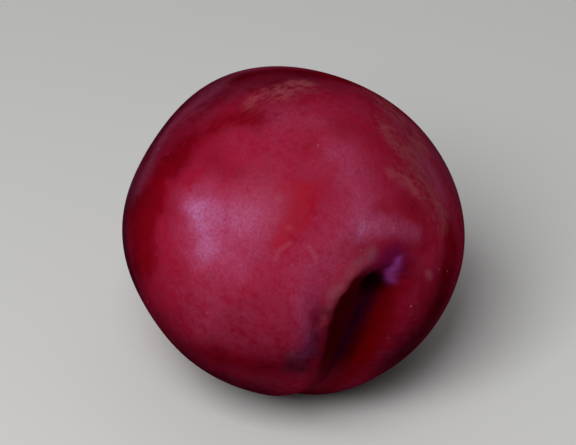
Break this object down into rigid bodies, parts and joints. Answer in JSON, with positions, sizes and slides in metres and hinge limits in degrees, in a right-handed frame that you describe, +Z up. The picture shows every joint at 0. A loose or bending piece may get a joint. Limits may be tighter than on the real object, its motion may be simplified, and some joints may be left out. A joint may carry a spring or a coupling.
{
  "type": "plum",
  "caption": "Ripe round plum lying on its side, with a sunk stem cavity, a wide seam valley under a raised lip that thins toward the blossom end, and slightly flattened cheeks.",
  "frame": {"origin": "on the surface it rests on, under the middle of the plum's bounding box", "axes": "+Z up; +X level toward the stem end, which tips up 7.5 degrees; the seam leaves the stem cavity down and to the -Y side"},
  "size_m": [0.06, 0.0602, 0.0578],
  "materials": {
    "plum_skin": "smooth satin skin, crimson to purple, with a thin wax bloom, tan flecks and pale dots"
  },
  "bodies": {
    "root": {"plum": "plum_skin"}
  },
  "joints": []
}
